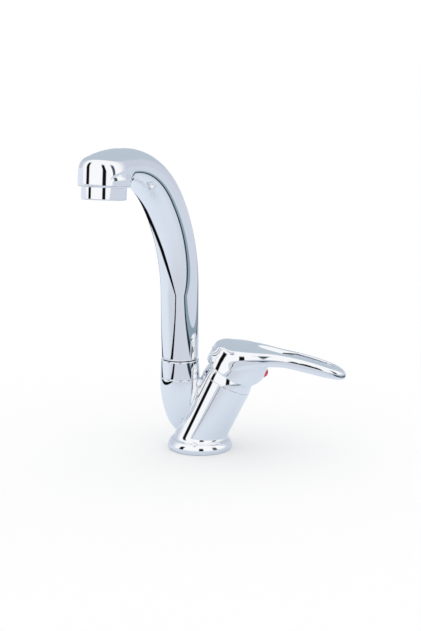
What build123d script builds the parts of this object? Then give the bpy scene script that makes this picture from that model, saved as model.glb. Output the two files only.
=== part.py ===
from build123d import *
from math import cos, radians, sin
import os

# Deck-mounted basin mixer. Millimetres and degrees. The deck is z = 0, the foot is centred on the
# origin, the housing leans towards +X, and the spout column stands on the -X side.

# Foot
foot_radius = 25.3
foot_bulge_radius = 26.0
foot_bulge_height = 4.5
foot_top_radius = 22.4
foot_height = 8.6

# Leaning housing, measured along its own axis from the seam under the dome ring
housing_lean = 25.7
housing_axis_at_deck = -5.1
housing_axis_length = 61.2
housing_foot_radius = 19.8
housing_seam_radius = 20.9
cartridge_bore_radius = 17.6
cartridge_bore_depth = 23.0

# Spout socket and its collar
column_x = -16.5
socket_top = 60.3
socket_top_radius = 16.1
socket_belly_radius = 16.1
socket_belly_height = 53.0
socket_waist_radius = 13.1
socket_waist_height = 33.6
socket_heel_radius = 8.2
socket_heel_height = 21.3
socket_tip_height = 13.6
socket_floor = 38.0
socket_bore_radius = 10.0
socket_neck_radius = 13.0
socket_neck_height = 6.2
collar_height = 14.8
collar_top_radius = 15.6
collar_lip = 2.5
seam_gap = 0.3
fit_gap = 0.05

# Spout
spout_turn = 62.0
spout_foot_radius = 15.1
bend_start_height = 130.0
lower_bend_radius = 126.0
lower_bend_angle = 40.0
upper_bend_radius = 78.0
crown_bend_radius = 120.0
crown_bend_angle = 8.75
spout_wall = 2.8
barrel_bore_radius = 11.5
barrel_drop = 12.0
barrel_tilt = 4.5
barrel_radius = 19.5
barrel_side_height = 11.0
barrel_arch_width = 19.9
barrel_arch_height = 13.2
barrel_edge_radius = 3.6
mouth_edge_radius = 0.8
neck_half_width = 17.0
neck_half_height = 13.2

# Spout tail and its rings
tail_bore_radius = 6.5
tail_flange_radius = 12.3
tail_flange_thickness = 2.1
tail_thread_length = 16.5
tail_bottom_gap = 3.0
tail_ring_heights = (46.0, 56.0)
tail_ring_section = 1.1
slide_ring_thickness = 1.8

# Aerator, along the barrel's axis from its mouth
aerator_radius = 16.8
aerator_length = 9.5
aerator_thread_radius = 14.0
aerator_thread_length = 6.5
aerator_bore_radius = 12.5
aerator_lip = 1.0
washer_thickness = 1.7
screen_thickness = 1.4
screen_hole_radius = 0.8
screen_pitch = 2.9
insert_channel_ring = 9.5
insert_channel_count = 18
insert_channel_radius = 0.9

# Ceramic cartridge, along the housing axis from the seam, upwards positive
cartridge_radius = 17.45
base_thickness = 4.0
fixed_disc_thickness = 3.5
fixed_disc_radius = 14.5
moving_disc_thickness = 3.4
moving_disc_radius = 12.0
moving_disc_x = -2.6
mixing_pocket_radius = 8.4
mixing_pocket_x = -5.5
chamber_radius = 15.7
shoulder_depth = 6.0
neck_radius = 14.0
neck_height = 9.0
head_radius = 11.4
head_flange_thickness = 1.3
head_flange_radius = 15.4
head_flange_gap = 0.1
slot_front = 8.0
slot_back = 7.5
carrier_thickness = 4.5
carrier_half_width = 8.8
guide_gap = 0.1
guide_thickness = 2.6
guide_half_length = 4.0
inlet_port_x = 4.5
inlet_port_y = 7.0
outlet_port_x = -8.5
inlet_port_radius = 2.8
outlet_port_radius = 3.2
seal_section = 0.9
seal_radius = 4.0

# Spindle
pivot_height = 4.5
spindle_size = 7.0
spindle_arm = 13.8
spindle_ball_radius = 2.3
spindle_rod_radius = 1.8
spindle_top = 27.0
spindle_waist = -2.0
spindle_side_gap = 0.2
ball_pocket_gap = 0.2
spindle_pin_radius = 1.5
spindle_pin_half_length = 10.5

# Retaining nut and dome ring
nut_hex_width = 32.0
nut_hex_height = 7.0
nut_bore_gap = 0.1
dome_ring_height = 10.5
dome_ring_seam_radius = 20.8
dome_ring_mid_radius = 20.3
dome_ring_top_radius = 18.6
dome_ring_inner_radius = 18.6

# Handle
cap_offset = 1.35
cap_rim_radius = 23.8
cap_belly_radius = 24.3
cap_edge_radius = 23.8
cap_wall = 1.6
cap_rim_height = 4.0
cap_belly_height = 16.0
cap_edge_height = 25.0
cap_shoulder_radius = 20.0
cap_shoulder_height = 30.7
cap_crown_radius = 12.0
cap_crown_height = 34.4
cap_top = 36.6
rim_points = (
    (-28.0, 12.2),
    (-22.0, 10.7),
    (-13.4, 9.3),
    (-3.0, 8.6),
    (6.0, 8.3),
    (18.3, 10.3),
    (24.0, 15.5),
    (28.0, 21.0),
)
lever_tip = (119.3, 0.0, 61.6)
lever_top_fullness = 0.78
lever_flank_fullness = 0.80
boss_radius = 6.5
boss_bottom = 15.5
screw_height = 21.0
screw_boss_radius = 4.4
screw_radius = 2.5
screw_length = 10.0
screw_key_width = 2.5
slot_half_width = 6.0
slot_start_x = 62.0
slot_end_x = 109.0
slot_edge_radius = 0.6
scoop_x = 64.0
scoop_height = 86.5
scoop_slope = 14.7
scoop_half_length = 25.0
scoop_radius = 9.0
plug_radius = 4.0
plug_shank_radius = 2.9
plug_shank_length = 4.0
plug_crown = 1.6
plug_seat_depth = 0.8

# Inlets and fixing stud in the underside
inlet_x = -4.0
inlet_y = 9.0
inlet_thread_radius = 4.5
inlet_thread_depth = 16.0
stud_x = 12.0
stud_thread_radius = 3.4
stud_thread_depth = 14.0
gasket_outer_radius = 24.0
gasket_inner_radius = 21.0
gasket_depth = 1.6
passage_radius = 2.8
outlet_drop = 4.0


def leaning(along, up):
    """World point at a distance towards the lever and a height up the housing axis from the seam."""
    lean = radians(housing_lean)
    seam_x = housing_axis_at_deck + housing_axis_length * sin(lean)
    seam_z = housing_axis_length * cos(lean)
    return (
        seam_x + along * cos(lean) + up * sin(lean),
        0,
        seam_z - along * sin(lean) + up * cos(lean),
    )


lean_x = Vector(cos(radians(housing_lean)), 0, -sin(radians(housing_lean)))
lean_z = Vector(sin(radians(housing_lean)), 0, cos(radians(housing_lean)))
seam = Plane(origin=leaning(0, 0), x_dir=lean_x, z_dir=lean_z)
seam_side = Plane(origin=leaning(0, 0), x_dir=lean_x, z_dir=(0, -1, 0))
seam_axis = Axis(leaning(0, 0), lean_z)
cap_side = Plane(origin=leaning(cap_offset, 0), x_dir=lean_x, z_dir=(0, -1, 0))
cap_axis = Axis(leaning(cap_offset, 0), lean_z)

column_side = Plane(origin=(column_x, 0, 0), x_dir=(1, 0, 0), z_dir=(0, -1, 0))
column_axis = Axis((column_x, 0, 0), (0, 0, 1))

# The spout's own upright plane: local x is the reach, local y is the height
reach = Vector(-cos(radians(spout_turn)), -sin(radians(spout_turn)), 0)
spout_side = Plane(origin=(column_x, 0, 0), x_dir=reach, z_dir=reach.cross(Vector(0, 0, 1)))
across_spout = spout_side.z_dir
barrel_up = Vector(0, 0, cos(radians(barrel_tilt))) - reach * sin(radians(barrel_tilt))
barrel_out = Vector(0, 0, sin(radians(barrel_tilt))) + reach * cos(radians(barrel_tilt))
# Heights that follow from the values above
collar_top = socket_top + collar_height
spout_foot = collar_top + seam_gap
lower_slide = socket_top + socket_neck_height
flange_bottom = lower_slide + slide_ring_thickness + 2 * fit_gap
flange_top = flange_bottom + tail_flange_thickness
collar_ceiling = collar_top - collar_lip
tail_radius = socket_bore_radius - fit_gap

disc_seat = base_thickness - cartridge_bore_depth
sliding_face = disc_seat + fixed_disc_thickness
carrier_seat = sliding_face + fit_gap + moving_disc_thickness
ball_height = pivot_height - spindle_arm
head_bore_radius = head_radius + fit_gap
head_flange_top = -shoulder_depth - head_flange_gap
head_flange_bottom = head_flange_top - head_flange_thickness
inlet_ports = ((inlet_port_x, -inlet_port_y), (inlet_port_x, inlet_port_y))
pivot_side = Plane(origin=leaning(0, pivot_height), x_dir=lean_x, z_dir=(0, -1, 0))
screw_mouth = Plane(origin=leaning(spindle_size / 2, screw_height), x_dir=(0, 1, 0), z_dir=lean_x)
cap_front = cap_offset + cap_belly_radius - spindle_size / 2
plug_seat = Plane(
    origin=leaning(cap_offset + cap_belly_radius - plug_seat_depth, screw_height),
    x_dir=(0, 1, 0),
    z_dir=lean_x,
)


def spout_station(line, place):
    """Plane square to the spout's path, with its local x across the spout."""
    return Plane(origin=line @ place, x_dir=across_spout, z_dir=line % place)


# The spout's path: upright, then two bends over to the barrel
with BuildLine(spout_side) as spout_path:
    rise = Line((0, spout_foot), (0, bend_start_height))
    lower_bend = JernArc(rise @ 1, rise % 1, lower_bend_radius, -lower_bend_angle)
    upper_bend = JernArc(lower_bend @ 1, lower_bend % 1, upper_bend_radius, lower_bend_angle - 90)
    crown_bend = JernArc(upper_bend @ 1, upper_bend % 1, crown_bend_radius, -crown_bend_angle)

# The barrel hangs from the end of the path, its mouth facing down
barrel = Plane(origin=(crown_bend @ 1) - barrel_up * barrel_drop, x_dir=barrel_out, z_dir=barrel_up)


def drill(start, end, radius):
    """Cut a round passage between two points."""
    run = Vector(*end) - Vector(*start)
    with BuildSketch(Plane(origin=start, z_dir=run)) as mouth:
        Circle(radius)
    extrude(mouth.sketch, amount=run.length, mode=Mode.SUBTRACT)


def turn(side, axis, *points, mode=Mode.ADD):
    """Turn a straight-sided profile about an axis."""
    with BuildSketch(side) as profile:
        with BuildLine():
            Polyline(*points, close=True)
        make_face()
    revolve(profile.sketch, axis=axis, mode=mode)


def turn_ring(side, axis, inner, outer, bottom, top, mode=Mode.ADD):
    """Turn a plain ring between two radii and two heights."""
    turn(side, axis, (inner, bottom), (outer, bottom), (outer, top), (inner, top), mode=mode)


os.makedirs("parts", exist_ok=True)

# Body casting: foot, leaning housing and egg-shaped socket in one brass casting
with BuildPart() as body_casting:
    with BuildSketch(seam.offset(-housing_axis_length)):
        Circle(housing_foot_radius)
    with BuildSketch(seam):
        Circle(housing_seam_radius)
    loft()
    split(bisect_by=Plane.XY.offset(foot_bulge_height), keep=Keep.TOP)
    with BuildSketch(Plane.XZ):
        with BuildLine():
            Polyline((0, foot_height), (0, 0), (foot_radius, 0))
            ThreePointArc(
                (foot_radius, 0),
                (foot_bulge_radius, foot_bulge_height),
                (foot_top_radius, foot_height),
            )
            Line((foot_top_radius, foot_height), (0, foot_height))
        make_face()
    revolve(axis=Axis.Z)
    with BuildSketch(column_side):
        with BuildLine():
            Spline(
                (socket_top_radius, socket_top),
                (socket_belly_radius, socket_belly_height),
                (socket_waist_radius, socket_waist_height),
                (socket_heel_radius, socket_heel_height),
                (0, socket_tip_height),
                tangents=((0.05, -1), (-1, -0.35)),
            )
            Polyline((0, socket_tip_height), (0, socket_top), (socket_top_radius, socket_top))
        make_face()
    revolve(axis=column_axis)
    turn_ring(column_side, column_axis, 0, socket_neck_radius, socket_top, lower_slide)
    # bores for the cartridge and for the spout's tail
    turn_ring(
        seam_side, seam_axis, 0, cartridge_bore_radius, -cartridge_bore_depth, seam_gap, mode=Mode.SUBTRACT
    )
    turn_ring(
        column_side, column_axis, 0, socket_bore_radius, socket_floor, lower_slide, mode=Mode.SUBTRACT
    )
    # outlet: down from the cartridge floor, then across to the foot of the socket bore
    outlet_corner = leaning(outlet_port_x, -cartridge_bore_depth - outlet_drop)
    drill(leaning(outlet_port_x, seam_gap - cartridge_bore_depth), outlet_corner, outlet_port_radius)
    drill(
        outlet_corner,
        (column_x + outlet_port_radius, 0, socket_floor + outlet_port_radius),
        outlet_port_radius,
    )
    # threaded inlets, their passages to the cartridge floor, and the stud hole
    for side in (-1, 1):
        inlet_mouth = (inlet_x, side * inlet_y, 0)
        inlet_end = (inlet_x, side * inlet_y, inlet_thread_depth)
        port = Vector(*leaning(inlet_port_x, seam_gap - cartridge_bore_depth))
        drill(inlet_mouth, inlet_end, inlet_thread_radius)
        drill(
            (inlet_x, side * inlet_y, inlet_thread_depth - passage_radius),
            (port.X, side * inlet_port_y, port.Z),
            passage_radius,
        )
    drill((stud_x, 0, 0), (stud_x, 0, stud_thread_depth), stud_thread_radius)
    turn_ring(
        Plane.XZ, Axis.Z, gasket_inner_radius, gasket_outer_radius, 0, gasket_depth, mode=Mode.SUBTRACT
    )

with BuildPart() as base_gasket:
    turn_ring(Plane.XZ, Axis.Z, gasket_inner_radius, gasket_outer_radius, 0, gasket_depth)

# Collar: screws on the socket's neck and traps the tail's flange under its lip
with BuildPart() as collar:
    turn(
        column_side,
        column_axis,
        (socket_neck_radius, socket_top),
        (socket_top_radius, socket_top),
        (collar_top_radius, collar_top),
        (tail_radius + seam_gap, collar_top),
        (tail_radius + seam_gap, collar_ceiling),
        (socket_neck_radius, collar_ceiling),
    )

with BuildPart() as lower_slide_ring:
    turn_ring(
        column_side,
        column_axis,
        tail_radius + fit_gap,
        socket_neck_radius - fit_gap,
        lower_slide,
        lower_slide + slide_ring_thickness,
    )

with BuildPart() as upper_slide_ring:
    turn_ring(
        column_side,
        column_axis,
        tail_radius + fit_gap,
        socket_neck_radius - fit_gap,
        flange_top + 2 * fit_gap,
        collar_ceiling,
    )

# Spout tail: turned tube, screwed into the spout and free to turn in the socket
with BuildPart() as spout_tail:
    turn_ring(
        column_side,
        column_axis,
        tail_bore_radius,
        tail_radius,
        socket_floor + tail_bottom_gap,
        spout_foot + tail_thread_length,
    )
    turn_ring(
        column_side, column_axis, tail_bore_radius, tail_flange_radius, flange_bottom, flange_top
    )
    for height in tail_ring_heights:
        turn_ring(
            column_side,
            column_axis,
            tail_radius - 2 * tail_ring_section,
            tail_radius + seam_gap,
            height - 1.2 * tail_ring_section,
            height + 1.2 * tail_ring_section,
            mode=Mode.SUBTRACT,
        )

with BuildPart() as tail_rings:
    with BuildSketch(column_side):
        for height in tail_ring_heights:
            with Locations((tail_radius - tail_ring_section, height)):
                Circle(tail_ring_section)
    revolve(axis=column_axis)

# Where along the path, half width across the spout, half height in its plane
spout_sections = (
    (rise, 0, spout_foot_radius, spout_foot_radius),
    (rise, 0.45, spout_foot_radius + 0.2, spout_foot_radius + 0.2),
    (rise, 1, spout_foot_radius + 0.3, spout_foot_radius + 0.3),
    (lower_bend, 0.5, spout_foot_radius + 0.9, spout_foot_radius + 0.9),
    (lower_bend, 1, spout_foot_radius + 1.1, spout_foot_radius + 1.0),
    (upper_bend, 0.45, neck_half_width - 0.8, neck_half_height + 1.5),
    (upper_bend, 0.8, neck_half_width - 0.4, neck_half_height + 0.5),
    (upper_bend, 1, neck_half_width, neck_half_height),
    (crown_bend, 1, neck_half_width + 0.4, neck_half_height - 0.2),
)

# Barrel: a round barrel whose top is the arch of a wider tube that follows the spout's crown
crown_axis = Axis(crown_bend.arc_center, across_spout)
with BuildSketch(spout_station(upper_bend, 1)) as arch:
    Ellipse(barrel_arch_width, barrel_arch_height)
with BuildPart() as barrel_blank:
    revolve(arch.sketch.rotate(crown_axis, 4), axis=crown_axis, revolution_arc=-34)
    with BuildSketch(barrel.offset(-seam_gap)):
        Rectangle(4 * barrel_radius, 4 * barrel_radius)
    extrude(amount=barrel_side_height)
    with BuildSketch(barrel):
        Circle(barrel_radius)
    extrude(amount=2 * barrel_radius, mode=Mode.INTERSECT)
    crest = barrel_blank.faces().filter_by(GeomType.PLANE, reverse=True)
    crest = crest.sort_by(Axis(barrel.origin, barrel_up))[-1]
    fillet(crest.edges(), barrel_edge_radius)
    mouth_rim = barrel_blank.faces().sort_by(Axis(barrel.origin, barrel_up))[0]
    fillet(mouth_rim.edges(), mouth_edge_radius)

# Spout: the cast tube and its barrel, with the waterway and the aerator's socket
with BuildPart() as spout:
    for line, place, half_width, half_height in spout_sections:
        with BuildSketch(spout_station(line, place)):
            Ellipse(half_width, half_height)
    loft()
    add(barrel_blank.part)
    for line, place, half_width, half_height in spout_sections:
        with BuildSketch(spout_station(line, place)):
            Ellipse(half_width - spout_wall, half_height - spout_wall)
    loft(mode=Mode.SUBTRACT)
    with BuildSketch(barrel.offset(-washer_thickness)):
        Circle(aerator_thread_radius)
    extrude(amount=aerator_thread_length + 2 * washer_thickness, mode=Mode.SUBTRACT)
    with BuildSketch(barrel):
        Circle(barrel_bore_radius)
    extrude(amount=barrel_drop, mode=Mode.SUBTRACT)
    # thicker wall at the foot, where the tail screws in
    turn_ring(
        column_side,
        column_axis,
        tail_radius,
        spout_foot_radius - spout_wall / 2,
        spout_foot,
        spout_foot + tail_thread_length,
    )

with BuildPart() as aerator_housing:
    with BuildSketch(barrel.offset(-aerator_length)):
        Circle(aerator_radius)
    extrude(amount=aerator_length)
    fillet(aerator_housing.faces().sort_by(Axis(barrel.origin, barrel_up))[0].edges(), mouth_edge_radius)
    with BuildSketch(barrel):
        Circle(aerator_thread_radius)
    extrude(amount=aerator_thread_length)
    with BuildSketch(barrel.offset(aerator_lip - aerator_length)):
        Circle(aerator_bore_radius)
    extrude(amount=aerator_length + aerator_thread_length, mode=Mode.SUBTRACT)
    with BuildSketch(barrel.offset(-aerator_length)):
        Circle(aerator_bore_radius - aerator_lip)
    extrude(amount=aerator_length, mode=Mode.SUBTRACT)

# Outlet screen: a thin disc with a hexagonal field of round holes, resting on the housing's lip
with BuildPart() as aerator_screen:
    with BuildSketch(barrel.offset(aerator_lip - aerator_length)):
        Circle(aerator_bore_radius)
        with HexLocations(screen_pitch / 2, 7, 7):
            Circle(screen_hole_radius, mode=Mode.SUBTRACT)
    extrude(amount=screen_thickness)

# Flow insert: a plug with a ring of slanting air channels, here drilled straight
with BuildPart() as aerator_insert:
    with BuildSketch(barrel.offset(aerator_lip - aerator_length + screen_thickness)):
        Circle(aerator_bore_radius)
        with PolarLocations(insert_channel_ring, insert_channel_count):
            Circle(insert_channel_radius, mode=Mode.SUBTRACT)
    extrude(amount=aerator_length - aerator_lip - screen_thickness + aerator_thread_length)

with BuildPart() as aerator_washer:
    with BuildSketch(barrel.offset(aerator_thread_length)):
        Circle(aerator_thread_radius)
        Circle(barrel_bore_radius, mode=Mode.SUBTRACT)
    extrude(amount=washer_thickness)

# Cartridge base: stands on the floor of the housing's bore
with BuildPart() as cartridge_base:
    turn_ring(seam_side, seam_axis, 0, cartridge_radius, -cartridge_bore_depth, disc_seat)
    with BuildSketch(seam.offset(-cartridge_bore_depth)):
        with Locations(*inlet_ports):
            Circle(inlet_port_radius)
        with Locations((outlet_port_x, 0)):
            Circle(outlet_port_radius)
    extrude(amount=base_thickness, mode=Mode.SUBTRACT)
    with BuildSketch(seam.offset(-cartridge_bore_depth)):
        with Locations(*inlet_ports, (outlet_port_x, 0)):
            Circle(seal_radius + seal_section)
    extrude(amount=2 * seal_section, mode=Mode.SUBTRACT)

with BuildPart() as base_seals:
    for along, across in (*inlet_ports, (outlet_port_x, 0)):
        seat = Plane(
            origin=seam.from_local_coords((along, across, seal_section - cartridge_bore_depth)),
            x_dir=lean_x,
            z_dir=(0, -1, 0),
        )
        with BuildSketch(seat):
            with Locations((seal_radius, 0)):
                Circle(seal_section)
        revolve(axis=Axis(seat.origin, lean_z))

with BuildPart() as fixed_disc:
    with BuildSketch(seam.offset(disc_seat)):
        Circle(fixed_disc_radius)
        with Locations(*inlet_ports):
            Circle(inlet_port_radius, mode=Mode.SUBTRACT)
        with Locations((outlet_port_x, 0)):
            Circle(outlet_port_radius, mode=Mode.SUBTRACT)
    extrude(amount=fixed_disc_thickness)

# Moving disc: its pocket joins the inlets to the outlet when it slides
with BuildPart() as moving_disc:
    with BuildSketch(seam.offset(sliding_face + fit_gap)):
        with Locations((moving_disc_x, 0)):
            Circle(moving_disc_radius)
    extrude(amount=moving_disc_thickness)
    with BuildSketch(seam.offset(sliding_face + fit_gap)):
        with Locations((mixing_pocket_x, 0)):
            Circle(mixing_pocket_radius)
    extrude(amount=moving_disc_thickness / 2, mode=Mode.SUBTRACT)

# Disc carrier: flats on two sides, and a round pocket for the spindle's ball
with BuildPart() as disc_carrier:
    with BuildSketch(seam.offset(carrier_seat)):
        with Locations((moving_disc_x, 0)):
            Circle(moving_disc_radius)
            Rectangle(2 * moving_disc_radius, 2 * carrier_half_width, mode=Mode.INTERSECT)
        Circle(spindle_ball_radius + ball_pocket_gap, mode=Mode.SUBTRACT)
    extrude(amount=carrier_thickness)

with BuildPart() as cartridge_housing:
    turn(
        seam_side,
        seam_axis,
        (fixed_disc_radius, disc_seat),
        (cartridge_radius, disc_seat),
        (cartridge_radius, -shoulder_depth),
        (neck_radius, -shoulder_depth),
        (neck_radius, neck_height),
        (head_bore_radius, neck_height),
        (head_bore_radius, -shoulder_depth),
        (chamber_radius, -shoulder_depth),
        (chamber_radius, sliding_face),
        (fixed_disc_radius, sliding_face),
    )

# Turning head: turns in the neck, with two guides for the carrier and a slot for the spindle
with BuildPart() as turning_head:
    turn_ring(seam_side, seam_axis, 0, head_radius, head_flange_bottom, neck_height)
    turn_ring(
        seam_side, seam_axis, 0, head_flange_radius, head_flange_bottom, head_flange_top
    )
    with BuildSketch(seam.offset(carrier_seat + guide_gap)):
        for side in (-1, 1):
            with Locations((0, side * (carrier_half_width + guide_gap + guide_thickness / 2))):
                Rectangle(2 * guide_half_length, guide_thickness)
    extrude(amount=head_flange_top - carrier_seat - guide_gap)
    with BuildSketch(seam.offset(carrier_seat)):
        with Locations(((slot_front - slot_back) / 2, 0)):
            Rectangle(slot_front + slot_back, spindle_size + 2 * spindle_side_gap)
    extrude(amount=neck_height - carrier_seat + 1, mode=Mode.SUBTRACT)
    with BuildSketch(pivot_side):
        Circle(spindle_pin_radius)
    extrude(amount=spindle_pin_half_length, both=True, mode=Mode.SUBTRACT)

with BuildPart() as spindle_pin:
    with BuildSketch(pivot_side):
        Circle(spindle_pin_radius)
    extrude(amount=spindle_pin_half_length, both=True)

# Spindle: square bar on the pin, with a ball at its lower end
with BuildPart() as spindle:
    with BuildSketch(seam.offset(spindle_waist)):
        Rectangle(spindle_size, spindle_size)
    extrude(amount=spindle_top - spindle_waist)
    with BuildSketch(seam.offset(ball_height)):
        Circle(spindle_rod_radius)
    extrude(amount=spindle_waist - ball_height)
    with Locations(Plane(origin=leaning(0, ball_height), x_dir=lean_x, z_dir=lean_z)):
        Sphere(spindle_ball_radius)
    with BuildSketch(pivot_side):
        Circle(spindle_pin_radius + fit_gap)
    extrude(amount=spindle_size, both=True, mode=Mode.SUBTRACT)

# Retaining nut: threaded skirt inside the housing, hexagon above it
with BuildPart() as retaining_nut:
    with BuildSketch(seam.offset(-shoulder_depth)):
        Circle(cartridge_bore_radius)
    extrude(amount=shoulder_depth)
    with BuildSketch(seam):
        RegularPolygon(nut_hex_width / 2, 6, major_radius=False)
    extrude(amount=nut_hex_height)
    with BuildSketch(seam.offset(-shoulder_depth)):
        Circle(neck_radius + nut_bore_gap)
    extrude(amount=shoulder_depth + nut_hex_height, mode=Mode.SUBTRACT)

# Dome ring: convex cover that stands on the housing's rim and hides the nut
with BuildPart() as dome_ring:
    with BuildSketch(seam_side):
        with BuildLine():
            Line((dome_ring_inner_radius, 0), (dome_ring_seam_radius, 0))
            ThreePointArc(
                (dome_ring_seam_radius, 0),
                (dome_ring_mid_radius, dome_ring_height / 2),
                (dome_ring_top_radius, dome_ring_height),
            )
            Polyline(
                (dome_ring_top_radius, dome_ring_height),
                (neck_radius + nut_bore_gap, dome_ring_height),
                (neck_radius + nut_bore_gap, nut_hex_height + seam_gap),
                (dome_ring_inner_radius, nut_hex_height + seam_gap),
                (dome_ring_inner_radius, 0),
            )
        make_face()
    revolve(axis=seam_axis)

# Lever sections: distance along X, height of the widest line, half width, rise above it, drop below it
lever_sections = (
    (20.0, 73.5, 21.6, 15.4, 8.5),
    (28.0, 75.5, 24.6, 14.2, 8.5),
    (36.0, 76.8, 24.4, 12.2, 7.5),
    (46.0, 77.0, 21.6, 10.2, 6.9),
    (56.0, 76.2, 17.6, 9.0, 5.7),
    (66.0, 74.9, 15.0, 8.0, 4.9),
    (80.0, 72.2, 14.0, 7.5, 5.2),
    (92.0, 69.2, 14.0, 7.2, 5.2),
    (100.0, 67.0, 14.0, 6.8, 5.1),
    (106.0, 65.2, 13.3, 6.4, 4.5),
    (111.0, 63.8, 11.5, 5.8, 4.1),
    (115.0, 62.8, 8.8, 4.7, 3.7),
    (117.5, 62.2, 5.9, 3.4, 2.9),
    (118.7, 61.8, 3.5, 2.2, 2.0),
)
lever_faces = []
for x, z, half_width, rise_above, drop_below in lever_sections:
    top_x, top_y = lever_top_fullness * half_width, lever_top_fullness * rise_above
    flank_x, flank_y = lever_flank_fullness * half_width, lever_flank_fullness * drop_below
    with BuildSketch(Plane(origin=(x, 0, z), x_dir=(0, 1, 0), z_dir=(1, 0, 0))) as section:
        with BuildLine():
            Spline(
                (half_width, 0),
                (top_x, top_y),
                (0, rise_above),
                (-top_x, top_y),
                (-half_width, 0),
                (-flank_x, -flank_y),
                (0, -drop_below),
                (flank_x, -flank_y),
                periodic=True,
            )
        make_face()
    lever_faces.append(section.sketch)

# Handle: a cap over the dome ring that flows into a loop lever
with BuildPart() as handle:
    with BuildSketch(cap_side):
        with BuildLine():
            Line((0, cap_rim_height), (cap_rim_radius, cap_rim_height))
            ThreePointArc(
                (cap_rim_radius, cap_rim_height),
                (cap_belly_radius, cap_belly_height),
                (cap_edge_radius, cap_edge_height),
            )
            Spline(
                (cap_edge_radius, cap_edge_height),
                (cap_shoulder_radius, cap_shoulder_height),
                (cap_crown_radius, cap_crown_height),
                (0, cap_top),
                tangents=((-0.1, 1), (-1, 0)),
            )
            Line((0, cap_top), (0, cap_rim_height))
        make_face()
    revolve(axis=cap_axis)
    loft(sections=[*lever_faces, Vertex(*lever_tip)])
    # slot through the lever, and the scoop that runs down into it
    with BuildSketch(Plane.XY):
        with Locations(((slot_start_x + slot_end_x) / 2, 0)):
            SlotOverall(slot_end_x - slot_start_x, 2 * slot_half_width)
    extrude(amount=4 * scoop_half_length, mode=Mode.SUBTRACT)
    slot_walls = handle.faces().filter_by(
        lambda face: abs(face.normal_at().Z) < 0.001 and abs(face.center().Y) < slot_half_width + 1
        and slot_start_x - 1 < face.center().X < slot_end_x + 1
    )
    fillet([edge for edge in slot_walls.edges() if edge.geom_type == GeomType.BSPLINE], slot_edge_radius)
    with BuildSketch(Plane.XZ):
        with Locations(Location((scoop_x, scoop_height), -scoop_slope)):
            Ellipse(scoop_half_length, scoop_radius)
            Rectangle(
                2 * scoop_half_length, scoop_radius, align=(Align.CENTER, Align.MIN), mode=Mode.INTERSECT
            )
    revolve(
        axis=Axis((scoop_x, 0, scoop_height), (cos(radians(scoop_slope)), 0, -sin(radians(scoop_slope)))),
        mode=Mode.SUBTRACT,
    )
    # rim: lowest at the sides, higher at the back and front, where the cap swings when it is lifted
    with BuildSketch(seam_side):
        with BuildLine():
            rim = Spline(*rim_points)
            Polyline(rim @ 1, (rim_points[-1][0], -cap_top), (rim_points[0][0], -cap_top), rim @ 0)
        make_face()
    extrude(amount=2 * cap_belly_radius, both=True, mode=Mode.SUBTRACT)
    with BuildSketch(cap_side):
        with BuildLine():
            Polyline(
                (0, cap_top - 2 * cap_wall),
                (0, 0),
                (cap_rim_radius - cap_wall, 0),
                (cap_belly_radius - cap_wall, cap_belly_height),
                (cap_edge_radius - cap_wall, cap_edge_height - cap_wall),
            )
            Spline(
                (cap_edge_radius - cap_wall, cap_edge_height - cap_wall),
                (cap_shoulder_radius - cap_wall, cap_shoulder_height - 2 * cap_wall),
                (cap_crown_radius - cap_wall, cap_crown_height - 2 * cap_wall),
                (0, cap_top - 2 * cap_wall),
                tangents=((-0.1, 1), (-1, 0)),
            )
        make_face()
    revolve(axis=cap_axis, mode=Mode.SUBTRACT)
    # boss for the spindle and boss for the set screw
    with BuildSketch(seam.offset(boss_bottom)):
        Circle(boss_radius)
    extrude(amount=cap_top - cap_wall - boss_bottom)
    with BuildSketch(screw_mouth):
        Circle(screw_boss_radius)
    extrude(amount=cap_front - cap_wall / 2)
    with BuildSketch(seam.offset(boss_bottom)):
        Rectangle(spindle_size + fit_gap, spindle_size + fit_gap)
    extrude(amount=spindle_top - boss_bottom, mode=Mode.SUBTRACT)
    with BuildSketch(screw_mouth):
        Circle(screw_radius)
    extrude(amount=cap_belly_radius, mode=Mode.SUBTRACT)
    # seat of the index plug
    with BuildSketch(plug_seat.offset(-plug_shank_length)):
        Circle(plug_shank_radius)
    extrude(amount=plug_shank_length, mode=Mode.SUBTRACT)
    with BuildSketch(plug_seat):
        Circle(plug_radius)
    extrude(amount=plug_crown, mode=Mode.SUBTRACT)

with BuildPart() as set_screw:
    with BuildSketch(screw_mouth):
        Circle(screw_radius)
    extrude(amount=screw_length)
    with BuildSketch(screw_mouth.offset(screw_length)):
        RegularPolygon(screw_key_width / 2, 6, major_radius=False)
    extrude(amount=-screw_length / 3, mode=Mode.SUBTRACT)

# Index plug in two halves, the hot one towards -Y
with BuildPart() as index_plug:
    with BuildSketch(plug_seat.offset(-plug_shank_length)):
        Circle(plug_shank_radius)
    extrude(amount=plug_shank_length)
    with BuildSketch(plug_seat):
        Circle(plug_radius)
    extrude(amount=plug_crown)
    crown = index_plug.faces().sort_by(Axis(plug_seat.origin, lean_x))[-1]
    fillet(crown.edges(), plug_crown - 0.2)

with BuildPart() as index_hot:
    add(index_plug.part)
    split(bisect_by=Plane.XZ, keep=Keep.TOP)

with BuildPart() as index_cold:
    add(index_plug.part)
    split(bisect_by=Plane.XZ, keep=Keep.BOTTOM)

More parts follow.
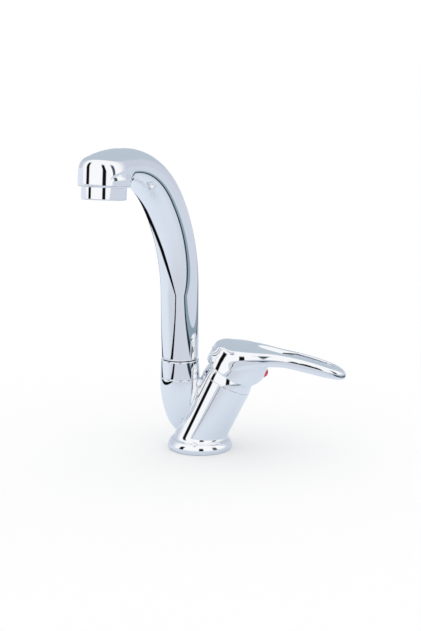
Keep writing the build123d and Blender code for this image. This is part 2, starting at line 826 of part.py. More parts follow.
pieces = {
    "body_casting": body_casting,
    "base_gasket": base_gasket,
    "collar": collar,
    "lower_slide_ring": lower_slide_ring,
    "upper_slide_ring": upper_slide_ring,
    "spout_tail": spout_tail,
    "tail_rings": tail_rings,
    "spout": spout,
    "aerator_housing": aerator_housing,
    "aerator_screen": aerator_screen,
    "aerator_insert": aerator_insert,
    "aerator_washer": aerator_washer,
    "cartridge_base": cartridge_base,
    "base_seals": base_seals,
    "fixed_disc": fixed_disc,
    "moving_disc": moving_disc,
    "disc_carrier": disc_carrier,
    "cartridge_housing": cartridge_housing,
    "turning_head": turning_head,
    "spindle_pin": spindle_pin,
    "spindle": spindle,
    "retaining_nut": retaining_nut,
    "dome_ring": dome_ring,
    "handle": handle,
    "set_screw": set_screw,
    "index_hot": index_hot,
    "index_cold": index_cold,
}
for name, piece in pieces.items():
    piece.part.label = name
    export_step(piece.part, f"parts/{name}.step")
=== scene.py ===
import math
import bpy
import numpy as np
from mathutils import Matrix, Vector


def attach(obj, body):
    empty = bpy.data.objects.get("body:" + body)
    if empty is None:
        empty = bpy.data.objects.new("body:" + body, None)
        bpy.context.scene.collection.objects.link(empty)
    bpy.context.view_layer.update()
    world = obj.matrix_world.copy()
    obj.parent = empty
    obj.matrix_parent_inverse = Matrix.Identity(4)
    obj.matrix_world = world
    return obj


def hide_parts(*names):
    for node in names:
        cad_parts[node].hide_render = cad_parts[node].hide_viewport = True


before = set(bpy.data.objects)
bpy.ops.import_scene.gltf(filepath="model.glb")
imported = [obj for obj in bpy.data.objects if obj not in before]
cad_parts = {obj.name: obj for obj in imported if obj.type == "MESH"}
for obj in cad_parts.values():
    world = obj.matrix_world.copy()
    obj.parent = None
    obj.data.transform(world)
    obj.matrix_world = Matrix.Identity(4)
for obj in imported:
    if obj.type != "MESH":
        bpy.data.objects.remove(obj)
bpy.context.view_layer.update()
print("frame loaded:", len(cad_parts), "nodes")

mm = 0.001


# Value at x on a cubic through the points; the slope at a point is its two steps' slopes, each weighted by the
# other's width
def easedCurve(xs, ys):
    xs, ys = np.asarray(xs, float), np.asarray(ys, float)
    gaps = np.diff(xs)
    steps = np.diff(ys) / gaps
    slopes = np.empty(len(xs))
    slopes[1:-1] = (steps[:-1] * gaps[1:] + steps[1:] * gaps[:-1]) / (gaps[1:] + gaps[:-1])
    slopes[0], slopes[-1] = steps[0], steps[-1]

    def value(x):
        x = np.clip(x, xs[0], xs[-1])
        i = np.clip(np.searchsorted(xs, x, side="right") - 1, 0, len(xs) - 2)
        gap = xs[i + 1] - xs[i]
        u = (x - xs[i]) / gap
        return (
            ys[i] * (1 + 2 * u) * (1 - u) ** 2
            + slopes[i] * gap * u * (1 - u) ** 2
            + ys[i + 1] * u * u * (3 - 2 * u)
            + slopes[i + 1] * gap * u * u * (u - 1)
        )

    return value


# Points on a bending line through a few points: cubic pieces whose bends match where they meet, given both end
# directions
def bentLine(points, startWay, endWay, steps=24):
    points = np.asarray(points, float)
    lengths = np.linalg.norm(np.diff(points, axis=0), axis=1)
    count = len(points)
    matrix, right = np.zeros((count, count)), np.zeros((count, 2))
    matrix[0, 0] = matrix[-1, -1] = 1
    right[0] = np.array(startWay, float) / np.linalg.norm(startWay)
    right[-1] = np.array(endWay, float) / np.linalg.norm(endWay)
    for i in range(1, count - 1):
        before, after = lengths[i - 1], lengths[i]
        matrix[i, i - 1 : i + 2] = after, 2 * (before + after), before
        right[i] = 3 * (
            after * (points[i] - points[i - 1]) / before + before * (points[i + 1] - points[i]) / after
        )
    ways = np.linalg.solve(matrix, right)
    u = np.linspace(0, 1, steps, endpoint=False)[:, None]
    runs = [
        points[i] * (1 + 2 * u) * (1 - u) ** 2
        + ways[i] * lengths[i] * u * (1 - u) ** 2
        + points[i + 1] * u * u * (3 - 2 * u)
        + ways[i + 1] * lengths[i] * u * u * (u - 1)
        for i in range(count - 1)
    ]
    return np.vstack([*runs, points[-1:]])


# Larger of two fields with the corner between them rounded over a width k: max(a, b) + h * h * k / 4
def roundMax(a, b, k):
    h = np.maximum(k - np.abs(a - b), 0) / k
    return np.maximum(a, b) + h * h * k / 4


# Smaller of two fields with the corner filled over a width k
def roundMin(a, b, k):
    return -roundMax(-a, -b, k)


# Distance to an oval: g is the radius in units of the oval, and (g - 1) is divided by how fast g grows
def oval(a, b, halfA, halfB):
    g = np.hypot(a / halfA, b / halfB) + 1e-9
    return (g - 1) * g / (np.hypot(a / halfA**2, b / halfB**2) + 1e-9)


# Distance to a turned shape: how far a point is beyond the profile, along the ray from the profile's middle
def turnedShape(profile, middle):
    angles = np.arctan2(profile[:, 1] - middle, profile[:, 0])
    order = np.argsort(angles)
    reachOut = easedCurve(angles[order], np.hypot(profile[:, 0], profile[:, 1] - middle)[order])

    def distance(radius, height):
        return np.hypot(radius, height - middle) - reachOut(np.arctan2(height - middle, radius))

    return distance


# Distance to a round rod from one point to another, flat at both ends
def rod(x, y, z, start, end, radius):
    start, end = np.array(start, float), np.array(end, float)
    length = np.linalg.norm(end - start)
    way = (end - start) / length
    dx, dy, dz = x - start[0], y - start[1], z - start[2]
    along = dx * way[0] + dy * way[1] + dz * way[2]
    away = np.sqrt(np.maximum(dx * dx + dy * dy + dz * dz - along * along, 0))
    return np.maximum(away - radius, np.maximum(-along, along - length))


# Skin of a solid given as a field of distances, negative inside: a point in each grid cell that the surface
# passes through, moved onto it down the field's slope and evened out with its neighbours, and a face across each
# grid edge whose ends lie on different sides. The normals are the field's slope.
def skin(field, low, high, cell, rounds=4):
    longestStep, evening = 0.7, 0.6  # of a cell, and of the way to the neighbours' mean
    low = np.array(low, float)
    counts = np.ceil((np.array(high, float) - low) / cell).astype(int) + 1
    axes = [low[i] + cell * np.arange(counts[i]) for i in range(3)]
    inside = np.empty(counts, bool)
    for start in range(0, counts[0], 16):
        slab = np.meshgrid(axes[0][start : start + 16], axes[1], axes[2], indexing="ij")
        inside[start : start + 16] = field(*slab) < 0
    total = np.zeros(counts - 1, np.int8)
    for i in (0, 1):
        for j in (0, 1):
            for k in (0, 1):
                total += inside[
                    i : counts[0] - 1 + i, j : counts[1] - 1 + j, k : counts[2] - 1 + k
                ].astype(np.int8)
    crossed = (total > 0) & (total < 8)
    number = np.full(total.shape, -1)
    number[crossed] = np.arange(crossed.sum())
    points = low + cell * (np.argwhere(crossed) + 0.5)
    quads = []
    for axis in range(3):
        order = (axis, (axis + 1) % 3, (axis + 2) % 3)
        side, cells = inside.transpose(order), number.transpose(order)
        i, j, k = np.nonzero(side[1:, 1:-1, 1:-1] != side[:-1, 1:-1, 1:-1])
        around = np.stack(
            [cells[i, j, k], cells[i, j + 1, k], cells[i, j + 1, k + 1], cells[i, j, k + 1]], axis=1
        )
        entering = side[i + 1, j + 1, k + 1]
        around[entering] = around[entering][:, ::-1]
        quads.append(around)
    quads = np.vstack(quads)

    # the field's slope: its change from a width on the one side to a width on the other, along each axis
    def slopeAt(points, width=0.02):
        slope = np.empty_like(points)
        for axis in range(3):
            shift = np.zeros(3)
            shift[axis] = width
            slope[:, axis] = (field(*(points + shift).T) - field(*(points - shift).T)) / (2 * width)
        return slope

    # points moved down the slope by the field's value over the slope squared, onto the surface
    def settle(points, times):
        for _ in range(times):
            slope = slopeAt(points)
            value = field(*points.T)
            step = value / (np.sum(slope * slope, axis=1) + 1e-9)
            step = step[:, None] * slope
            size = np.linalg.norm(step, axis=1, keepdims=True)
            points = points - step * np.minimum(1, longestStep * cell / (size + 1e-9))
        return points

    points = settle(points, 3)
    ends = np.vstack([quads[:, (i, (i + 1) % 4)] for i in range(4)])
    ends = np.vstack([ends, ends[:, ::-1]])
    shares = np.bincount(ends[:, 0], minlength=len(points))[:, None]
    for _ in range(rounds):
        mean = np.stack(
            [np.bincount(ends[:, 0], points[ends[:, 1], i], len(points)) for i in range(3)], axis=1
        ) / np.maximum(shares, 1)
        points = settle(points + evening * (mean - points), 2)
    slope = slopeAt(points, 0.05)
    normals = slope / (np.linalg.norm(slope, axis=1, keepdims=True) + 1e-9)
    return points, quads, normals


# Turned surface: the closed profile (radius, height, rounding) at each of the angles, placed by its middle and two
# directions. A rounded corner is a short curve p = (1-u)^2 a + 2 u (1-u) corner + u^2 b, from a on the one side to
# b on the other, with normals that turn with it.
def turnedSkin(profile, middle, axis, across, angles=160):
    corners = np.array([point[:2] for point in profile], float)
    rounding = np.array([point[2] for point in profile], float)
    before, after = np.roll(corners, 1, axis=0), np.roll(corners, -1, axis=0)
    backWay, onWay = before - corners, after - corners
    backWay /= np.linalg.norm(backWay, axis=1, keepdims=True)
    onWay /= np.linalg.norm(onWay, axis=1, keepdims=True)
    outBack = np.stack([-backWay[:, 1], backWay[:, 0]], axis=1)
    outOn = np.stack([onWay[:, 1], -onWay[:, 0]], axis=1)
    line, slant = [], []
    for i, corner in enumerate(corners):
        if rounding[i] == 0:
            line.append(corner[None])
            slant.append((outBack[i] + outOn[i])[None])
            continue
        u = np.linspace(0, 1, 5)[:, None]
        a, b = corner + backWay[i] * rounding[i], corner + onWay[i] * rounding[i]
        line.append((1 - u) ** 2 * a + 2 * u * (1 - u) * corner + u * u * b)
        slant.append((1 - u) * outBack[i] + u * outOn[i])
    line, slant = np.vstack(line), np.vstack(slant)
    slant /= np.linalg.norm(slant, axis=1, keepdims=True)
    axis, across = np.array(axis, float), np.array(across, float)
    third = np.cross(axis, across)
    turn = np.linspace(0, 2 * np.pi, angles, endpoint=False)
    spoke = np.cos(turn)[:, None] * across + np.sin(turn)[:, None] * third
    points = np.array(middle, float) + line[None, :, :1] * spoke[:, None] + line[None, :, 1:] * axis
    normals = slant[None, :, :1] * spoke[:, None] + slant[None, :, 1:] * axis
    rows, columns = len(turn), len(line)
    i, j = np.meshgrid(np.arange(rows), np.arange(columns), indexing="ij")
    iNext, jNext = (i + 1) % rows, (j + 1) % columns
    quads = np.stack(
        [i * columns + j, iNext * columns + j, iNext * columns + jNext, i * columns + jNext], axis=-1
    )
    return points.reshape(-1, 3), quads.reshape(-1, 4), normals.reshape(-1, 3)


# A skin in mm, scaled to metres, becomes a piece that rides on a body and stands for CAD nodes
def makePiece(name, shape, finish, body, slotName, *nodes):
    points, quads, normals = shape
    mesh = bpy.data.meshes.new(name)
    mesh.vertices.add(len(points))
    mesh.vertices.foreach_set("co", (points * mm).ravel())
    mesh.loops.add(quads.size)
    mesh.loops.foreach_set("vertex_index", quads.ravel().astype(np.int32))
    mesh.polygons.add(len(quads))
    mesh.polygons.foreach_set("loop_start", np.arange(0, quads.size, 4, dtype=np.int32))
    mesh.polygons.foreach_set("loop_total", np.full(len(quads), 4, dtype=np.int32))
    mesh.update(calc_edges=True)
    mesh.validate()
    mesh.shade_smooth()
    mesh.normals_split_custom_set_from_vertices(normals)
    piece = bpy.data.objects.new(name, mesh)
    bpy.context.scene.collection.objects.link(piece)
    mesh.materials.append(finish)
    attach(piece, body)
    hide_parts(*nodes)
    print("made", name, len(quads), "faces")


# Hex text to a linear colour: a part c becomes c / 12.92 up to 0.04045, and ((c + 0.055) / 1.055) to the power 2.4
# above it
def colour(hexText):
    parts = [int(hexText[i : i + 2], 16) / 255 for i in (1, 3, 5)]
    return (*[c / 12.92 if c <= 0.04045 else ((c + 0.055) / 1.055) ** 2.4 for c in parts], 1)


# One node with its settings; an input that is a socket is linked and any other is set
def addNode(tree, kind, inputs=None, **settings):
    node = tree.nodes.new(kind)
    for name, value in settings.items():
        setattr(node, name, value)
    for name, value in (inputs or {}).items():
        if isinstance(value, bpy.types.NodeSocket):
            tree.links.new(value, node.inputs[name])
        else:
            node.inputs[name].default_value = value
    return node


# Mix of two colours, each a hex text or a socket, by a factor's socket
def blendColours(tree, factor, first, second):
    mix = tree.nodes.new("ShaderNodeMix")
    mix.data_type = "RGBA"
    tree.links.new(factor, mix.inputs[0])
    for socket, value in ((mix.inputs[6], first), (mix.inputs[7], second)):
        if isinstance(value, str):
            socket.default_value = colour(value)
        else:
            tree.links.new(value, socket)
    return mix.outputs[2]


# A surface whose colour drifts between two tones and whose roughness and height follow a grain; a pattern's scale
# is one over its size in metres
def makeFinish(name, look):
    material = bpy.data.materials.new(name)
    material.use_nodes = True
    tree = material.node_tree
    tree.nodes.clear()
    place = addNode(tree, "ShaderNodeTexCoord")
    drift = addNode(tree, "ShaderNodeTexNoise", {
        "Vector": place.outputs["Object"], "Scale": 1 / (look["driftSize"] * mm), "Detail": 3.0})
    grain = addNode(tree, "ShaderNodeTexNoise", {
        "Vector": place.outputs["Object"], "Scale": 1 / (look["grainSize"] * mm), "Detail": 4.0})
    tone = blendColours(tree, drift.outputs["Fac"], *look["tones"])
    rough = addNode(tree, "ShaderNodeMapRange", {
        "Value": grain.outputs["Fac"], "To Min": look["roughness"][0], "To Max": look["roughness"][1]})
    height = addNode(tree, "ShaderNodeBump", {
        "Height": grain.outputs["Fac"], "Strength": look["bumpStrength"], "Distance": look["bumpDepth"] * mm})
    shader = addNode(tree, "ShaderNodeBsdfPrincipled", {
        "Base Color": tone, "Roughness": rough.outputs["Result"], "Normal": height.outputs["Normal"],
        "Metallic": look.get("metallic", 0.0)})
    for name, value in look.get("sockets", {}).items():
        shader.inputs[name].default_value = value
    addNode(tree, "ShaderNodeOutputMaterial", {"Surface": shader.outputs["BSDF"]})
    return material


# Sizes and depths in mm; a grain too fine for the render is drawn as coarse as it needs to show
looks = {
    # bright chrome over nickel on polished brass: a cool mirror, with the faint swell of hand polishing
    "chromePlate": {"tones": ("#F4F6FA", "#F9FAFC"), "driftSize": 40, "grainSize": 9,
                    "roughness": (0.02, 0.04), "bumpStrength": 0.05, "bumpDepth": 0.05, "metallic": 1.0},
    # glossy enamel inlay in the lever's index
    "redEnamel": {"tones": ("#C8323F", "#D24450"), "driftSize": 3, "grainSize": 0.4,
                  "roughness": (0.15, 0.22), "bumpStrength": 0.05, "bumpDepth": 0.02,
                  "sockets": {"Coat Weight": 0.6, "Coat Roughness": 0.05}},
    "blueEnamel": {"tones": ("#2A55B4", "#3562C0"), "driftSize": 3, "grainSize": 0.4,
                   "roughness": (0.15, 0.22), "bumpStrength": 0.05, "bumpDepth": 0.02,
                   "sockets": {"Coat Weight": 0.6, "Coat Roughness": 0.05}},
    # moulded nitrile rubber: matt black with a fine tool texture
    "nitrileRubber": {"tones": ("#1E1F21", "#27282A"), "driftSize": 6, "grainSize": 0.3,
                      "roughness": (0.55, 0.7), "bumpStrength": 0.3, "bumpDepth": 0.03},
    # moulded acetal: waxy black
    "acetalPlastic": {"tones": ("#17181A", "#1F2022"), "driftSize": 5, "grainSize": 0.5,
                      "roughness": (0.32, 0.42), "bumpStrength": 0.15, "bumpDepth": 0.02},
    # moulded glass-filled nylon of the cartridge: grey, with a speckle of fibres
    "filledNylon": {"tones": ("#8E9296", "#A2A5A8"), "driftSize": 4, "grainSize": 0.25,
                    "roughness": (0.4, 0.55), "bumpStrength": 0.25, "bumpDepth": 0.02},
    # lapped alumina ceramic: white, smooth, faintly speckled
    "aluminaCeramic": {"tones": ("#EFEDE8", "#F6F4F0"), "driftSize": 2, "grainSize": 0.3,
                       "roughness": (0.12, 0.2), "bumpStrength": 0.05, "bumpDepth": 0.01},
    # turned brass, unplated: yellow, with fine tool marks
    "turnedBrass": {"tones": ("#C9A24E", "#D8B464"), "driftSize": 8, "grainSize": 0.3,
                    "roughness": (0.22, 0.34), "bumpStrength": 0.2, "bumpDepth": 0.02, "metallic": 1.0},
    # plain stainless steel
    "plainSteel": {"tones": ("#B4B6B8", "#C4C6C8"), "driftSize": 5, "grainSize": 0.3,
                   "roughness": (0.22, 0.32), "bumpStrength": 0.15, "bumpDepth": 0.02, "metallic": 1.0},
    # moulded grey-white plastic of the flow insert
    "insertPlastic": {"tones": ("#C9CCCE", "#D6D9DA"), "driftSize": 4, "grainSize": 0.4,
                      "roughness": (0.35, 0.45), "bumpStrength": 0.15, "bumpDepth": 0.02},
}
finishes = {name: makeFinish(name, look) for name, look in looks.items()}
nodeFinishes = {
    "chromePlate": ("body_casting", "collar", "dome_ring", "spout", "aerator_housing", "handle"),
    "redEnamel": ("index_hot",),
    "blueEnamel": ("index_cold",),
    "nitrileRubber": ("base_gasket", "base_seals", "tail_rings", "aerator_washer"),
    "acetalPlastic": ("lower_slide_ring", "upper_slide_ring"),
    "filledNylon": ("cartridge_base", "cartridge_housing", "turning_head", "disc_carrier"),
    "aluminaCeramic": ("fixed_disc", "moving_disc"),
    "turnedBrass": ("spindle", "retaining_nut", "spout_tail"),
    "plainSteel": ("spindle_pin", "set_screw", "aerator_screen"),
    "insertPlastic": ("aerator_insert",),
}
for name, nodes in nodeFinishes.items():
    for node in nodes:
        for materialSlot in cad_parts[node].material_slots:
            materialSlot.material = finishes[name]
print("finishes made")

housing = {"lean": 25.7, "deckX": -5.1, "length": 61.2, "footRadius": 19.8, "seamRadius": 20.9, "bore": 17.6,
           "boreDepth": 23.0, "startHeight": 4.0, "seamEdge": 0.5}
lean = math.radians(housing["lean"])
seamX = housing["deckX"] + housing["length"] * math.sin(lean)
seamZ = housing["length"] * math.cos(lean)
leanOut = (math.cos(lean), 0, -math.sin(lean))
leanUp = (math.sin(lean), 0, math.cos(lean))
columnX = -16.5


# Distances along the leaning housing's own axes: outwards under the lever, and up from the seam
def leaning(x, z):
    return (
        (x - seamX) * leanOut[0] + (z - seamZ) * leanOut[2],
        (x - seamX) * leanUp[0] + (z - seamZ) * leanUp[2],
    )


# The point that lies out and up along those axes from the seam's middle
def leaningPoint(out, up, y=0.0):
    return (seamX + out * leanOut[0] + up * leanUp[0], y, seamZ + out * leanOut[2] + up * leanUp[2])


foot = {"bulge": ((25.3, 0.0), (26.0, 4.5), (22.4, 8.6)), "blend": 4.0, "topEdge": 0.8, "deckEdge": 0.4}
socket = {"profile": ((16.1, 60.3), (16.1, 53.0), (13.1, 33.6), (8.2, 21.3), (0.0, 13.6)),
          "startWay": (0.05, -1), "endWay": (-1, -0.35), "middle": 42.0, "neckRadius": 13.0, "neckBottom": 50.0,
          "neckTop": 66.5, "bore": 10.0, "floor": 38.0, "topEdge": 0.6, "blend": 1.6}
# holes from below: start height, x, y and radius, and the gasket's groove
underside = {"start": -2.0, "inlet": (-4.0, 9.0, 4.5), "inletTop": 16.0, "stud": (12.0, 0.0, 3.4), "studTop": 14.0,
             "groove": (22.5, 1.5, 1.6), "cutEdge": 0.3}
# middle and radius of the circle through the bulge's three points
(x1, z1), (x2, z2), (x3, z3) = foot["bulge"]
bulgeMatrix = np.array([[x2 - x1, z2 - z1], [x3 - x1, z3 - z1]]) * 2
bulgeRight = np.array([x2**2 - x1**2 + z2**2 - z1**2, x3**2 - x1**2 + z3**2 - z1**2])
bulgeX, bulgeZ = np.linalg.solve(bulgeMatrix, bulgeRight)
bulgeRadius = math.hypot(x1 - bulgeX, z1 - bulgeZ)
eggLine = bentLine(socket["profile"], socket["startWay"], socket["endWay"])
eggLine = np.vstack([[(0.0, 61.5), (6.0, 61.5), (12.0, 61.5)], eggLine[1:]])
egg = turnedShape(eggLine, socket["middle"])


# Distance to the casting: the leaning wall widens evenly from foot to seam, the egg and the foot's turned bulge
# join it in filled corners, the neck stands on top, and the bores and drillings are cut away
def bodyField(x, y, z):
    out, up = leaning(x, z)
    wall = np.hypot(out, y) - housing["footRadius"] - (
        (up + housing["length"]) / housing["length"] * (housing["seamRadius"] - housing["footRadius"]))
    wall = roundMax(wall, up, housing["seamEdge"])
    wall = np.maximum(wall, housing["startHeight"] - z)
    radius = np.hypot(x, y)
    ring = np.hypot(radius - bulgeX, z - bulgeZ) - bulgeRadius
    ring = np.where(radius < bulgeX, -bulgeRadius + np.abs(z - bulgeZ), ring)
    ring = roundMax(ring, z - foot["bulge"][2][1], foot["topEdge"])
    columnRadius = np.hypot(x - columnX, y)
    bulb = roundMax(egg(columnRadius, z), z - socket["profile"][0][1], socket["topEdge"])
    solid = roundMin(roundMin(wall, bulb, socket["blend"]), ring, foot["blend"])
    neck = np.maximum(z - socket["neckTop"], socket["neckBottom"] - z)
    neck = np.maximum(columnRadius - socket["neckRadius"], neck)
    solid = np.minimum(solid, neck)
    solid = roundMax(solid, -z, foot["deckEdge"])
    cuts = np.maximum(columnRadius - socket["bore"], socket["floor"] - z)
    cuts = np.minimum(cuts, np.maximum(np.hypot(out, y) - housing["bore"], -housing["boreDepth"] - up))
    start, (inletX, inletY, inletRadius) = underside["start"], underside["inlet"]
    for side in (-1, 1):
        low, high = (inletX, side * inletY, start), (inletX, side * inletY, underside["inletTop"])
        cuts = np.minimum(cuts, rod(x, y, z, low, high, inletRadius))
    studX, studY, studRadius = underside["stud"]
    cuts = np.minimum(cuts, rod(x, y, z, (studX, studY, start), (studX, studY, underside["studTop"]), studRadius))
    grooveRadius, grooveHalf, grooveDepth = underside["groove"]
    cuts = np.minimum(cuts, np.maximum(np.abs(radius - grooveRadius) - grooveHalf, z - grooveDepth))
    return roundMax(solid, -cuts, underside["cutEdge"])


fine = 1.0
# each skin is given the box in mm that holds the piece, and its cell's size
makePiece("castBody", skin(bodyField, (-34, -28, -1), (43, 28, 68), 0.62 * fine),
          finishes["chromePlate"], "base", "body_chrome", "body_casting")

# profiles of collar and dome ring: radius, height and rounding
collar = {"profile": ((13.0, 60.3, 0.1), (16.1, 60.3, 0.6), (15.6, 75.1, 0.9), (10.25, 75.1, 0.3),
                      (10.25, 72.6, 0.1), (13.0, 72.6, 0.1))}
makePiece("collarRing", turnedSkin(collar["profile"], (columnX, 0, 0), (0, 0, 1), (1, 0, 0)),
          finishes["chromePlate"], "base", "body_chrome", "collar")

# the ring's side at height h has the radius 20.8 less 0.02 h and 0.0181 h squared
ring = {"radius": 20.8, "taper": (0.02, 0.0181), "heights": (2, 4, 6, 8),
        "inside": ((18.6, 10.5, 0.5), (14.1, 10.5, 0.2), (14.1, 7.3, 0.1), (18.6, 7.3, 0.1), (18.6, 0.0, 0.1))}
ringSide = [(ring["radius"] - ring["taper"][0] * h - ring["taper"][1] * h * h, float(h), 0)
            for h in ring["heights"]]
makePiece("domeRing", turnedSkin([(ring["radius"], 0.0, 0.35), *ringSide, *ring["inside"]],
                                 leaningPoint(0, 0), leanUp, leanOut),
          finishes["chromePlate"], "base", "body_chrome", "dome_ring")

spoutShape = {
    "turn": 62.0, "foot": 75.4, "footEdge": 1.8, "bendStart": 130.0, "lowerRadius": 126.0, "lowerAngle": 40.0,
    "upperRadius": 78.0, "crownRadius": 120.0, "crownAngle": 8.75, "wall": 2.8, "tailBore": 9.95,
    "tailDepth": 16.5,
    "stations": (0, 24.57, 54.6, 98.58, 142.56, 173.2, 197.02, 210.63, 228.96),
    "halfWidth": (15.1, 15.3, 15.4, 16.0, 16.2, 16.2, 16.6, 17.0, 17.4),
    "halfHeight": (15.1, 15.3, 15.4, 16.0, 16.1, 14.7, 13.7, 13.2, 13.0),
}
barrelShape = {"drop": 12.0, "tilt": 4.5, "radius": 19.5, "sideHeight": 11.0, "archWidth": 19.9,
               "archHeight": 13.2, "archFloor": 0.3, "crestEdge": 5.5, "mouthEdge": 1.4, "neckBlend": (1.5, 6.5),
               "blendDepth": 10.0, "bore": 11.5, "threadBore": 14.05, "threadDepth": 8.2, "cutEdge": 0.3}
turnAngle = math.radians(spoutShape["turn"])
reachWay = np.array([-math.cos(turnAngle), -math.sin(turnAngle), 0.0])
acrossWay = np.cross(reachWay, [0, 0, 1])
lowerAngle = math.radians(spoutShape["lowerAngle"])
lowerMiddle = (spoutShape["lowerRadius"], spoutShape["bendStart"])
upperMiddle = (
    lowerMiddle[0] - (spoutShape["lowerRadius"] - spoutShape["upperRadius"]) * math.cos(lowerAngle),
    lowerMiddle[1] + (spoutShape["lowerRadius"] - spoutShape["upperRadius"]) * math.sin(lowerAngle),
)
crownMiddle = (upperMiddle[0], upperMiddle[1] + spoutShape["upperRadius"] - spoutShape["crownRadius"])
crownAngle = math.radians(spoutShape["crownAngle"])
pathEnd = (
    crownMiddle[0] + spoutShape["crownRadius"] * math.sin(crownAngle),
    crownMiddle[1] + spoutShape["crownRadius"] * math.cos(crownAngle),
)
tilt = math.radians(barrelShape["tilt"])
barrelUp = np.array([0, 0, math.cos(tilt)]) - reachWay * math.sin(tilt)
barrelOut = np.array([0, 0, math.sin(tilt)]) + reachWay * math.cos(tilt)
mouthMiddle = np.array([columnX, 0, pathEnd[1]]) + reachWay * pathEnd[0] - barrelUp * barrelShape["drop"]
halfWidthAt = easedCurve(spoutShape["stations"], spoutShape["halfWidth"])
halfHeightAt = easedCurve(spoutShape["stations"], spoutShape["halfHeight"])


# Distance to the spout's tube, less a wall: in the spout's own plane a point belongs to the straight rise or to
# one of the three arcs, and the oval section there has half sizes that depend on how far along the path it is
def tubeField(out, across, z, wall):
    lowerTurn = np.arctan2(z - lowerMiddle[1], lowerMiddle[0] - out)
    upperTurn = np.arctan2(z - upperMiddle[1], upperMiddle[0] - out)
    crownTurn = np.arctan2(z - crownMiddle[1], crownMiddle[0] - out)
    rise = spoutShape["bendStart"] - spoutShape["foot"]
    lowerLength = spoutShape["lowerRadius"] * lowerAngle
    upperLength = spoutShape["upperRadius"] * (math.pi / 2 - lowerAngle)
    onRise = z < spoutShape["bendStart"]
    onLower = ~onRise & (lowerTurn < lowerAngle)
    onUpper = ~onRise & ~onLower & (upperTurn < math.pi / 2)
    station = np.where(onRise, z - spoutShape["foot"], np.where(
        onLower, rise + spoutShape["lowerRadius"] * lowerTurn, np.where(
            onUpper, rise + lowerLength + spoutShape["upperRadius"] * (upperTurn - lowerAngle),
            rise + lowerLength + upperLength + spoutShape["crownRadius"] * (crownTurn - math.pi / 2))))
    offset = np.where(onRise, -out, np.where(
        onLower, np.hypot(out - lowerMiddle[0], z - lowerMiddle[1]) - spoutShape["lowerRadius"], np.where(
            onUpper, np.hypot(out - upperMiddle[0], z - upperMiddle[1]) - spoutShape["upperRadius"],
            np.hypot(out - crownMiddle[0], z - crownMiddle[1]) - spoutShape["crownRadius"])))
    return oval(across, offset, halfWidthAt(station) - wall, halfHeightAt(station) - wall)


# Distance to the spout: the tube and the barrel, a cylinder under an oval arch, join in a corner that is filled
# more on the underside, and the water way, the tail's bore and the aerator's thread are cut away
def spoutField(x, y, z):
    out = (x - columnX) * reachWay[0] + y * reachWay[1]
    across = (x - columnX) * acrossWay[0] + y * acrossWay[1]
    dx, dy, dz = x - mouthMiddle[0], y - mouthMiddle[1], z - mouthMiddle[2]
    up = dx * barrelUp[0] + dy * barrelUp[1] + dz * barrelUp[2]
    away = dx * barrelOut[0] + dy * barrelOut[1] + dz * barrelOut[2]
    barrelRadius = np.hypot(away, across)
    archOffset = np.hypot(out - crownMiddle[0], z - crownMiddle[1]) - spoutShape["crownRadius"]
    arch = oval(across, archOffset, barrelShape["archWidth"], barrelShape["archHeight"])
    top = np.minimum(arch, up - barrelShape["sideHeight"] + barrelShape["archFloor"])
    barrel = roundMax(barrelRadius - barrelShape["radius"], top, barrelShape["crestEdge"])
    barrel = roundMax(barrel, -up, barrelShape["mouthEdge"])
    tube = tubeField(out, across, z, 0)
    pastEnd = (out - pathEnd[0]) * math.cos(crownAngle) - (z - pathEnd[1]) * math.sin(crownAngle)
    tube = np.maximum(tube, pastEnd)
    topBlend, underBlend = barrelShape["neckBlend"]
    blend = topBlend + (underBlend - topBlend) * np.clip(-archOffset / barrelShape["blendDepth"], 0, 1)
    solid = roundMin(tube, barrel, blend)
    solid = roundMax(solid, spoutShape["foot"] - z, spoutShape["footEdge"])
    water = np.maximum(tubeField(out, across, z, spoutShape["wall"]), pastEnd)
    columnRadius = np.hypot(x - columnX, y)
    inTail = z < spoutShape["foot"] + spoutShape["tailDepth"]
    water = np.where(inTail, columnRadius - spoutShape["tailBore"], water)
    water = np.minimum(water, np.maximum(barrelRadius - barrelShape["bore"], up - barrelShape["drop"]))
    thread = np.maximum(barrelRadius - barrelShape["threadBore"], up - barrelShape["threadDepth"])
    return roundMax(solid, -np.minimum(water, thread), barrelShape["cutEdge"])


makePiece("castSpout", skin(spoutField, (-90, -124, 74), (3, 18, 256), 0.92 * fine),
          finishes["chromePlate"], "spout_arm", "spout_chrome", "spout")

aerator = {"profile": ((11.5, -9.5, 0.3), (16.8, -9.5, 0.9), (16.8, 0.0, 0.25), (14.0, 0.0, 0.1), (14.0, 6.5, 0.2),
                       (12.5, 6.5, 0.2), (12.5, -8.5, 0.1), (11.5, -8.5, 0.1))}
makePiece("aeratorShell", turnedSkin(aerator["profile"], mouthMiddle, barrelUp, barrelOut),
          finishes["chromePlate"], "spout_arm", "aerator_chrome", "aerator_housing")

